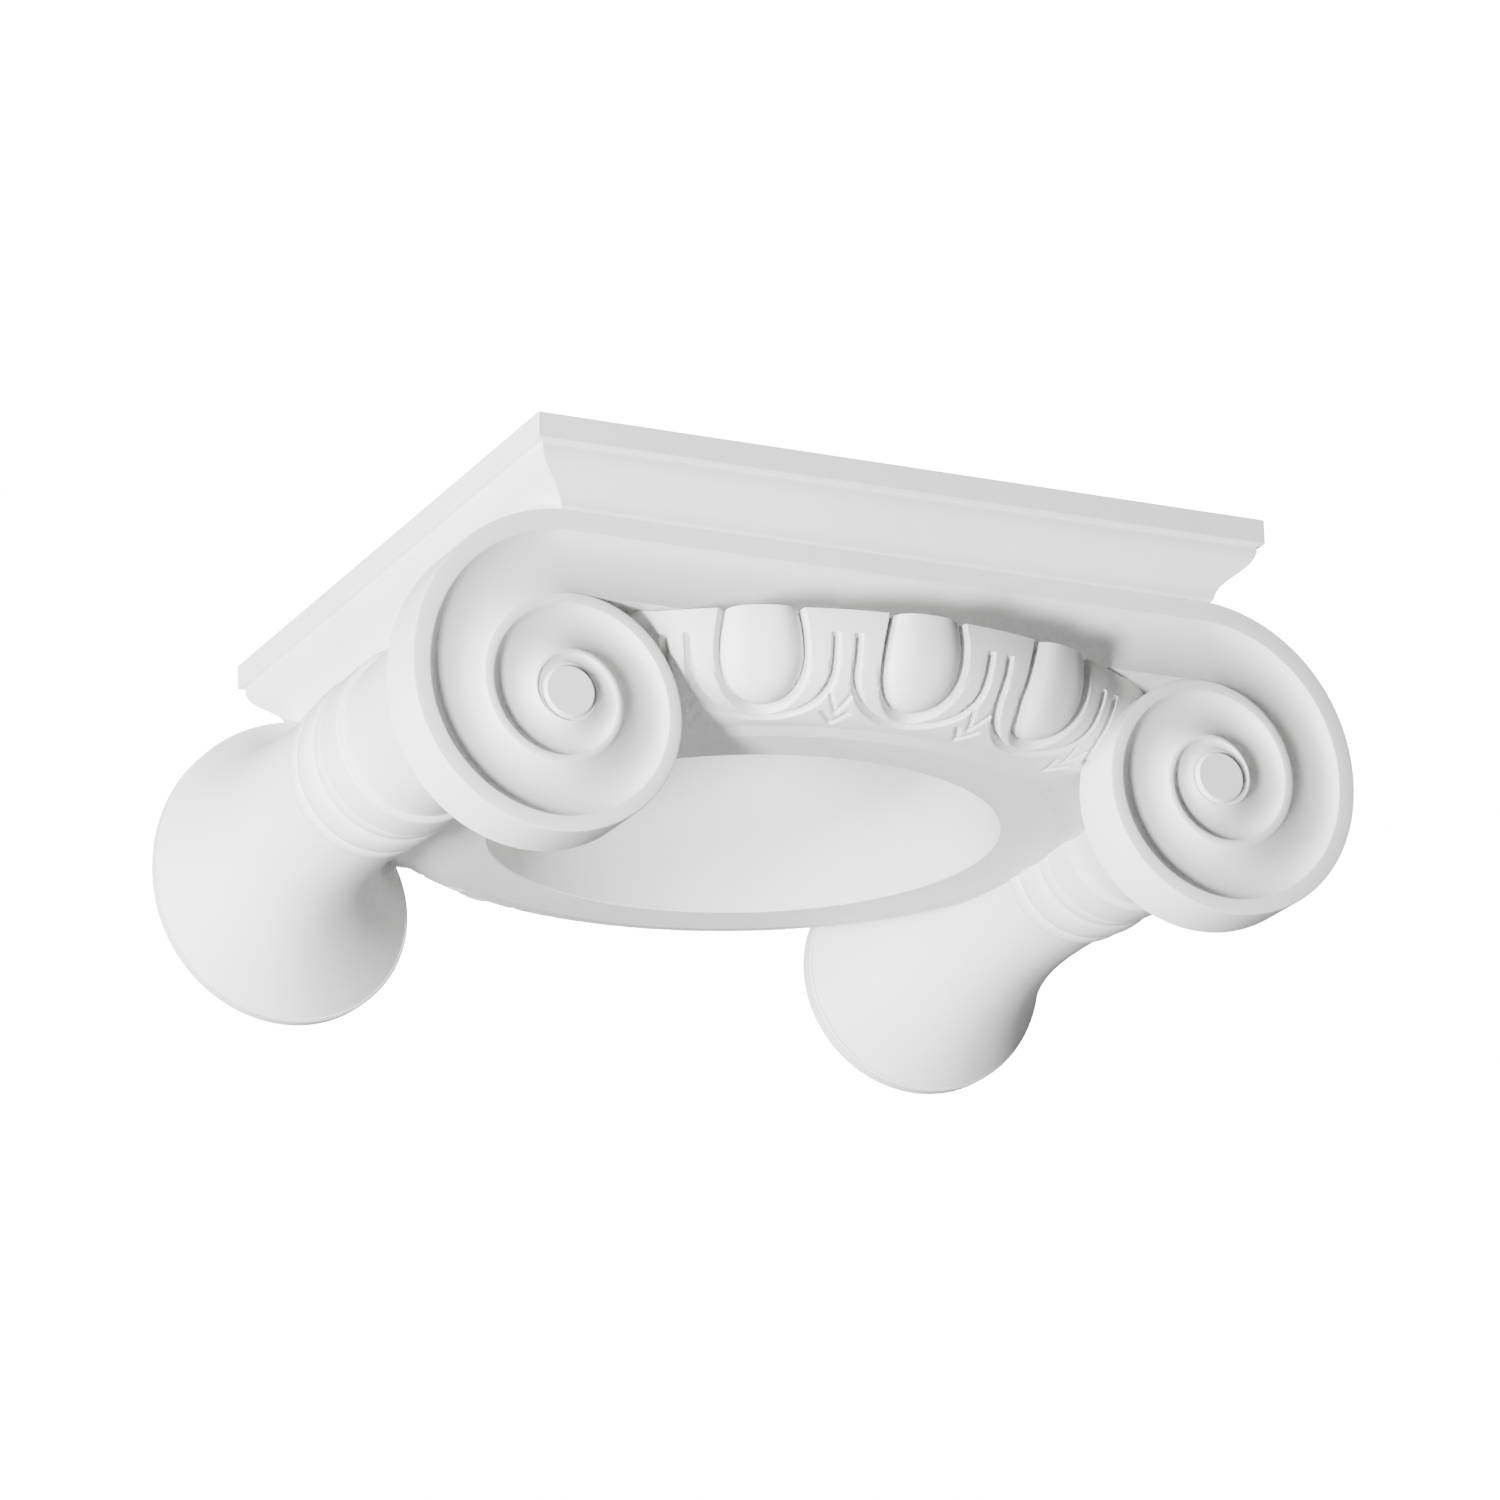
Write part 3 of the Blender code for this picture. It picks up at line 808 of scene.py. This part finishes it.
def level_ring(turns, radius, level):
    """A level ring with a point at each turn, in radians."""
    return [(radius * math.cos(turn), radius * math.sin(turn), level) for turn in turns]


def echinus(sizes, carving):
    """The round cushion with its carved ovolo, down to the flat seat."""
    rings = []
    for run in echinus_runs():
        ring = []
        for angle, height in carved_ring(sizes, carving, run):
            radius, level, out, down = ovolo(sizes, 90.0 * run, fullness_at(sizes, angle))
            turn = math.radians(angle - 90.0)
            reach = radius + height * out
            if not rings:
                level += lip_rise(sizes, angle)
            ring.append((reach * math.cos(turn), reach * math.sin(turn), level - height * down))
        if rings and len(ring) != len(rings[0]):
            raise RuntimeError("the rows of the echinus differ in length")
        rings.append(ring)
    turns = [math.radians(angle - 90.0) for angle, _ in carved_ring(sizes, carving, 1.0)]
    foot = sizes.radius - sizes.foot_turn_in
    seat = foot - sizes.seat_bevel
    tilt = sizes.foot_height / sizes.seat_bevel
    ledge = level_ring(turns, sizes.radius - sizes.ledge, sizes.top + sizes.ledge_rise)
    high = sizes.foot_height
    rows = [(foot, high), (foot - CRISP, high - CRISP * tilt), (seat + CRISP, CRISP * tilt)]
    rows += [(seat, 0.0), (seat - CRISP, 0.0), (sizes.socket_radius - MOUTH_MARGIN, 0.0)]
    return loft("echinus", [ledge] + rings + [level_ring(turns, *row) for row in rows])


SOCKET_SIDES = 160
MOUTH_ROUND = 0.0005  # how far the mouth's edge is broken
BELOW_SEAT = 0.02  # how far the cutter starts below the seat


def socket_cutter(sizes):
    """The round hollow, with its mouth's edge slightly broken."""
    turns = [2 * math.pi * i / SOCKET_SIDES for i in range(SOCKET_SIDES)]
    radius = sizes.socket_radius
    wide = radius + MOUTH_ROUND
    rows = ((wide, -BELOW_SEAT), (wide, 0.0), (radius, MOUTH_ROUND), (radius, sizes.socket_depth))
    return loft("socket_cutter", [level_ring(turns, *row) for row in rows])


# Blocks that tie the two faces, the balusters and the abacus together
BLOCK_OVERLAP = 0.001  # how far the cushion runs into the bands
ABACUS_OVERLAP = 0.002  # how far the cushion runs into the abacus
WEB_FOOT = 0.014  # height of the web's underside above the seat
WEB_DEPTH = 0.03
WEB_RISE = 0.002  # how far the web runs up past the cushion's underside
WEB_OVERLAP = 0.0008  # how far the web runs into the back band


def block(name, half, front, back, low, high):
    """A plain block between two levels."""
    rings = []
    for level in (low, high):
        corners = ((-half, front), (half, front), (half, back), (-half, back))
        rings.append([(x, y, level) for x, y in corners])
    return loft(name, rings)


def cushion(scroll, abacus_sizes):
    """Plain block that carries the abacus between the two faces."""
    low = scroll.eye_level + scroll_radius(scroll, LAP) + BLOCK_OVERLAP
    front = -(scroll.front_rim - scroll.front_band) - BLOCK_OVERLAP
    back = scroll.back_rim - scroll.back_band + BLOCK_OVERLAP
    return block("cushion", scroll.eye_offset, front, back, low, abacus_sizes.underside + ABACUS_OVERLAP)


def back_web(scroll):
    """Closes the hollow behind the thin back band, beside the volutes."""
    back = scroll.back_rim - scroll.back_band + WEB_OVERLAP
    high = scroll.eye_level + scroll_radius(scroll, LAP) + WEB_RISE
    return block("back_web", scroll.eye_offset, back - WEB_DEPTH, back, WEB_FOOT, high)


# Finish
SHARP_ANGLE = math.radians(34.0)
VECTOR, COLOUR, NUMBER = "NodeSocketVector", "NodeSocketColor", "NodeSocketFloat"


def new_group(name, inputs, outputs):
    """A shader node group with named sockets, and its input and output nodes."""
    group = bpy.data.node_groups.new(name, "ShaderNodeTree")
    for label, kind, value in inputs:
        socket = group.interface.new_socket(name=label, in_out="INPUT", socket_type=kind)
        if value is not None:
            socket.default_value = value
    for label, kind in outputs:
        group.interface.new_socket(name=label, in_out="OUTPUT", socket_type=kind)
    return group, group.nodes.new("NodeGroupInput"), group.nodes.new("NodeGroupOutput")


def noise(group, vector, scale, detail, rough=0.5):
    """The value of a noise over the surface."""
    node = group.nodes.new("ShaderNodeTexNoise")
    node.inputs["Scale"].default_value = scale
    node.inputs["Detail"].default_value = detail
    node.inputs["Roughness"].default_value = rough
    group.links.new(vector, node.inputs["Vector"])
    return node.outputs["Fac"]


def remap(group, value, low, high, to_low=0.0, to_high=1.0):
    """A value stretched from one range to another."""
    node = group.nodes.new("ShaderNodeMapRange")
    node.inputs["From Min"].default_value = low
    node.inputs["From Max"].default_value = high
    node.inputs["To Min"].default_value = to_low
    node.inputs["To Max"].default_value = to_high
    group.links.new(value, node.inputs["Value"])
    return node.outputs["Result"]


def blend_value(group, a, b, operation):
    """A sum or product of a value with a number or another value."""
    node = group.nodes.new("ShaderNodeMath")
    node.operation = operation
    group.links.new(a, node.inputs[0])
    if isinstance(b, (int, float)):
        node.inputs[1].default_value = b
    else:
        group.links.new(b, node.inputs[1])
    return node.outputs[0]


def mottle_group():
    """Broad, faint patches in a sprayed coat."""
    inputs = [("Vector", VECTOR, None), ("Coat", COLOUR, None), ("Patch", COLOUR, None)]
    group, given, result = new_group("coat mottle", inputs, [("Color", COLOUR), ("Mask", NUMBER)])
    vector = given.outputs["Vector"]
    broad = remap(group, noise(group, vector, scale=14.0, detail=3.0), low=0.42, high=0.72)
    fine = remap(group, noise(group, vector, scale=160.0, detail=4.0, rough=0.6), low=0.45, high=0.75)
    broad_part = blend_value(group, broad, 0.55, "MULTIPLY")
    fine_part = blend_value(group, fine, 0.3, "MULTIPLY")
    mask = blend_value(group, broad_part, fine_part, "ADD")
    mix = group.nodes.new("ShaderNodeMix")
    mix.data_type = "RGBA"
    group.links.new(mask, mix.inputs["Factor"])
    group.links.new(given.outputs["Coat"], mix.inputs["A"])
    group.links.new(given.outputs["Patch"], mix.inputs["B"])
    group.links.new(mix.outputs["Result"], result.inputs["Color"])
    group.links.new(mask, result.inputs["Mask"])
    return group


def grain_group():
    """Fine spray grain and soft unevenness of a cast surface."""
    inputs = [("Vector", VECTOR, None), ("Mean", NUMBER, 0.56), ("Spread", NUMBER, 0.08)]
    group, given, result = new_group("cast grain", inputs, [("Height", NUMBER), ("Roughness", NUMBER)])
    vector = given.outputs["Vector"]
    grain = noise(group, vector, scale=900.0, detail=3.0, rough=0.6)
    wave = noise(group, vector, scale=60.0, detail=2.0)
    height = blend_value(group, blend_value(group, grain, 0.35, "MULTIPLY"), wave, "ADD")
    group.links.new(height, result.inputs["Height"])
    patches = noise(group, vector, scale=45.0, detail=3.0)
    spread = remap(group, patches, low=0.3, high=0.7, to_low=-0.5, to_high=0.5)
    offset = blend_value(group, spread, given.outputs["Spread"], "MULTIPLY")
    rough = blend_value(group, offset, given.outputs["Mean"], "ADD")
    group.links.new(rough, result.inputs["Roughness"])
    return group


def new_material(name):
    """A material with its node tree and its shader."""
    mat = bpy.data.materials.new(name)
    mat.use_nodes = True
    return mat, mat.node_tree, mat.node_tree.nodes["Principled BSDF"]


def cast_material(finish):
    """White matte coat on a cast body."""
    mat, tree, shader = new_material(SLOT)
    spot = tree.nodes.new("ShaderNodeTexCoord")
    mottle = tree.nodes.new("ShaderNodeGroup")
    mottle.node_tree = mottle_group()
    mottle.inputs["Coat"].default_value = (*finish.colour, 1.0)
    mottle.inputs["Patch"].default_value = (*finish.shade, 1.0)
    grain = tree.nodes.new("ShaderNodeGroup")
    grain.node_tree = grain_group()
    grain.inputs["Mean"].default_value = finish.roughness
    bump = tree.nodes.new("ShaderNodeBump")
    bump.inputs["Strength"].default_value = 0.25
    bump.inputs["Distance"].default_value = 0.0004
    for node in (mottle, grain):
        tree.links.new(spot.outputs["Object"], node.inputs["Vector"])
    tree.links.new(mottle.outputs["Color"], shader.inputs["Base Color"])
    tree.links.new(grain.outputs["Roughness"], shader.inputs["Roughness"])
    tree.links.new(grain.outputs["Height"], bump.inputs["Height"])
    tree.links.new(bump.outputs["Normal"], shader.inputs["Normal"])
    shader.inputs["Specular IOR Level"].default_value = 0.35
    return mat


def floor_material(colour, glow):
    """A pale matte floor that looks evenly lit and throws little light back."""
    mat, tree, shader = new_material("pale_floor")
    shader.inputs["Base Color"].default_value = (*colour, 1.0)
    shader.inputs["Roughness"].default_value = 0.8
    shader.inputs["Emission Color"].default_value = (*colour, 1.0)
    path = tree.nodes.new("ShaderNodeLightPath")
    strength = tree.nodes.new("ShaderNodeMath")
    strength.operation = "MULTIPLY"
    strength.inputs[1].default_value = glow
    tree.links.new(path.outputs["Is Camera Ray"], strength.inputs[0])
    tree.links.new(strength.outputs[0], shader.inputs["Emission Strength"])
    return mat


def finish_mesh(obj):
    """Smooth shading that keeps arrises crisp and flat bands flat."""
    obj.data.shade_smooth()
    obj.data.set_sharp_from_angle(angle=SHARP_ANGLE)
    weight = obj.modifiers.new("weight", "WEIGHTED_NORMAL")
    weight.keep_sharp = True
    weight.mode = "FACE_AREA"
    weight.weight = 60


class CAPITAL_OT_casting(bpy.types.Operator):
    """Build the whole casting as one closed mesh with its matte white coat"""

    bl_idname = "capital.casting"
    bl_label = "Build Casting"

    def execute(self, context):
        scene = context.scene
        scroll = scene.capital_scroll
        body = abacus(scene.capital_abacus)
        body.name = PIECE
        combine(body, cushion(scroll, scene.capital_abacus), "UNION")
        combine(body, back_web(scroll), "UNION")
        combine(body, face_slab(scroll, "front_face", -1), "UNION")
        combine(body, face_slab(scroll, "back_face", 1), "UNION")
        for side in (-1, 1):
            combine(body, baluster(scroll, scene.capital_baluster, side), "UNION")
        combine(body, echinus(scene.capital_echinus, scene.capital_carving), "UNION")
        combine(body, socket_cutter(scene.capital_echinus), "DIFFERENCE")
        body.data.materials.clear()
        body.data.materials.append(cast_material(scene.capital_finish))
        finish_mesh(body)
        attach(body, BODY)
        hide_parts(NODE)
        return {"FINISHED"}


# Stage
AZIMUTH = math.radians(25.63)
ELEVATION = math.radians(18.56)
ROLL = math.radians(-1.27)
CAMERA_SPOT = (-1.09843, -2.29738, -0.81944)
FOCAL_SHARE = 6850.3 / 1500.0
SENSOR_WIDTH = 36.0  # millimetres
LIGHT_AIM = 0.03  # height above the seat at which the lights look
FLOOR_HALF = 60.0
FLOOR_COLOUR = (0.70, 0.70, 0.70)
WHITE = (1.0, 1.0, 1.0, 1.0)
KEY_DIRECTION = (-0.74, -0.56, -0.375)
SIDE_DIRECTION = (-0.95, -0.22, -0.12)
BACK_DIRECTION = (0.45, 0.6, 0.65)


def camera(scene):
    """The photograph's view, from the front left and below."""
    level = math.cos(ELEVATION)
    ahead = Vector((level * math.sin(AZIMUTH), level * math.cos(AZIMUTH), math.sin(ELEVATION)))
    right = Vector((math.cos(AZIMUTH), -math.sin(AZIMUTH), 0.0))
    up = right.cross(ahead)
    turned_right = right * math.cos(ROLL) + up * math.sin(ROLL)
    turned_up = up * math.cos(ROLL) - right * math.sin(ROLL)
    data = bpy.data.cameras.new("camera")
    data.sensor_width = SENSOR_WIDTH
    data.lens = FOCAL_SHARE * data.sensor_width
    data.clip_start = 0.05
    data.clip_end = 60.0
    obj = bpy.data.objects.new("camera", data)
    spot = Vector(CAMERA_SPOT) + Vector((0.0, 0.0, lift()))
    turn = Matrix((turned_right, turned_up, -ahead)).transposed()
    obj.matrix_world = Matrix.Translation(spot) @ turn.to_4x4()
    scene.collection.objects.link(obj)
    scene.camera = obj


def soft_light(scene, name, direction, distance, size, watts):
    """A square light that looks at the middle of the capital."""
    data = bpy.data.lights.new(name, "AREA")
    data.shape = "SQUARE"
    data.size = size
    data.energy = watts
    obj = bpy.data.objects.new(name, data)
    towards = Vector(direction).normalized()
    obj.location = Vector((0.0, 0.0, lift() + LIGHT_AIM)) + towards * distance
    obj.rotation_euler = towards.to_track_quat("Z", "Y").to_euler()
    scene.collection.objects.link(obj)


def white_world(scene, ambient, backdrop):
    """White behind the capital and an even, weaker light all round it."""
    world = bpy.data.worlds.new("white")
    world.use_nodes = True
    tree = world.node_tree
    tree.nodes.clear()
    path = tree.nodes.new("ShaderNodeLightPath")
    mix = tree.nodes.new("ShaderNodeMixShader")
    out = tree.nodes.new("ShaderNodeOutputWorld")
    tree.links.new(path.outputs["Is Camera Ray"], mix.inputs["Fac"])
    for slot, strength in ((1, ambient), (2, backdrop)):
        white = tree.nodes.new("ShaderNodeBackground")
        white.inputs["Color"].default_value = WHITE
        white.inputs["Strength"].default_value = strength
        tree.links.new(white.outputs["Background"], mix.inputs[slot])
    tree.links.new(mix.outputs["Shader"], out.inputs["Surface"])
    scene.world = world


class CAPITAL_OT_stage(bpy.types.Operator):
    """Build the pale floor, the soft lights and the camera"""

    bl_idname = "capital.stage"
    bl_label = "Build Stage"

    def execute(self, context):
        scene = context.scene
        settings = scene.capital_stage
        half = FLOOR_HALF
        mesh = bpy.data.meshes.new("floor")
        corners = [(-half, -half, 0.0), (half, -half, 0.0), (half, half, 0.0), (-half, half, 0.0)]
        mesh.from_pydata(corners, [], [(0, 1, 2, 3)])
        floor = bpy.data.objects.new("floor", mesh)
        floor.location = (0.0, 0.0, settings.floor_level)
        scene.collection.objects.link(floor)
        mesh.materials.append(floor_material(FLOOR_COLOUR, settings.floor_glow))
        away = settings.distance
        soft_light(scene, "key", KEY_DIRECTION, away, settings.key_size, settings.key_power)
        soft_light(scene, "side", SIDE_DIRECTION, away, settings.side_size, settings.side_power)
        soft_light(scene, "back", BACK_DIRECTION, away, settings.back_size, settings.back_power)
        white_world(scene, settings.ambient, settings.backdrop)
        camera(scene)
        return {"FINISHED"}


class CAPITAL_PT_panel(bpy.types.Panel):
    """Lists the sizes, the finish and the two build steps"""

    bl_label = "Ionic Capital"
    bl_idname = "CAPITAL_PT_panel"
    bl_space_type = "VIEW_3D"
    bl_region_type = "UI"
    bl_category = "Capital"

    def draw(self, context):
        layout = self.layout
        for name in GROUPS:
            box = layout.box()
            box.label(text=name.replace("capital_", "").title())
            settings = getattr(context.scene, name)
            for key in settings.__annotations__:
                box.prop(settings, key)
        layout.operator(CAPITAL_OT_casting.bl_idname)
        layout.operator(CAPITAL_OT_stage.bl_idname)


GROUPS = {
    "capital_abacus": AbacusSizes,
    "capital_scroll": ScrollSizes,
    "capital_baluster": BalusterSizes,
    "capital_echinus": EchinusSizes,
    "capital_carving": CarvingSizes,
    "capital_finish": FinishSettings,
    "capital_stage": StageSettings,
}
CLASSES = (*GROUPS.values(), CAPITAL_OT_casting, CAPITAL_OT_stage, CAPITAL_PT_panel)


def register():
    for cls in CLASSES:
        bpy.utils.register_class(cls)
    for name, cls in GROUPS.items():
        setattr(bpy.types.Scene, name, PointerProperty(type=cls))


def unregister():
    for name in GROUPS:
        delattr(bpy.types.Scene, name)
    for cls in reversed(CLASSES):
        bpy.utils.unregister_class(cls)


def main():
    register()
    bpy.ops.capital.casting()
    bpy.ops.capital.stage()


if __name__ == "__main__":
    main()
